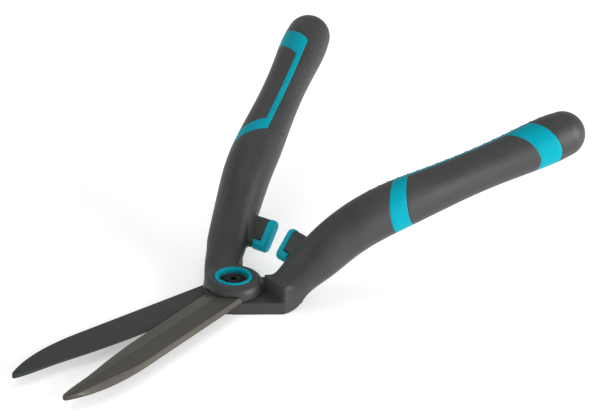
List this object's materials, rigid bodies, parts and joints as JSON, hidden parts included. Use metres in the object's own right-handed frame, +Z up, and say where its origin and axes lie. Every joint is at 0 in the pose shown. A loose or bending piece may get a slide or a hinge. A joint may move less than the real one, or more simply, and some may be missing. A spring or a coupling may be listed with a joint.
{
  "type": "grass shears",
  "caption": "Two-handed grass shears with cranked soft-grip handles, straight coated blades, a recessed pivot and rubber bumpers; the halves swing about the pivot.",
  "frame": {"origin": "on the pivot axis, at the flat underside of the lower boss", "axes": "+X from the pivot towards the handles along the centre line between them, +Y towards the upper half's handle, +Z up along the pivot axis"},
  "size_m": [0.3735, 0.2446, 0.1017],
  "materials": {
    "upper_blade_steel": "warm grey-brown non-stick coating, satin",
    "lower_blade_steel": "dark grey coating, satin",
    "handle_plastic": "fine eroded texture",
    "grip_rubber": "matt soft-touch with raised dots",
    "palm_rubber": "matt soft-touch",
    "trim_plastic": "satin turquoise",
    "bumper_rubber": "satin turquoise",
    "ring_plastic": "satin turquoise",
    "core_plug_plastic": "plain moulded",
    "black_steel": "black oxide",
    "spring_steel": "bright",
    "bush_bronze": "sintered bronze"
  },
  "bodies": {
    "lower_half": {"lower_blade": "lower_blade_steel", "lower_handle": "handle_plastic", "lower_sleeve": "grip_rubber", "lower_trim_frame": "trim_plastic", "lower_palm_pad": "palm_rubber", "lower_end_plug": "core_plug_plastic", "lower_bumper": "bumper_rubber", "pivot_stud": "black_steel", "spring_washer": "spring_steel", "flange_washer": "black_steel", "lock_nut": "black_steel"},
    "upper_half": {"upper_blade": "upper_blade_steel", "upper_handle": "handle_plastic", "upper_sleeve": "grip_rubber", "upper_trim_frame": "trim_plastic", "upper_palm_pad": "palm_rubber", "upper_end_plug": "core_plug_plastic", "upper_bumper": "bumper_rubber", "pivot_bush": "bush_bronze", "pivot_ring": "ring_plastic"}
  },
  "joints": [
    {"name": "blade_pivot", "type": "hinge", "parent": "lower_half", "child": "upper_half", "pos_m": [0, 0, 0.008], "axis": [0, 0, 1], "range_deg": [-14.6, 45]}
  ]
}
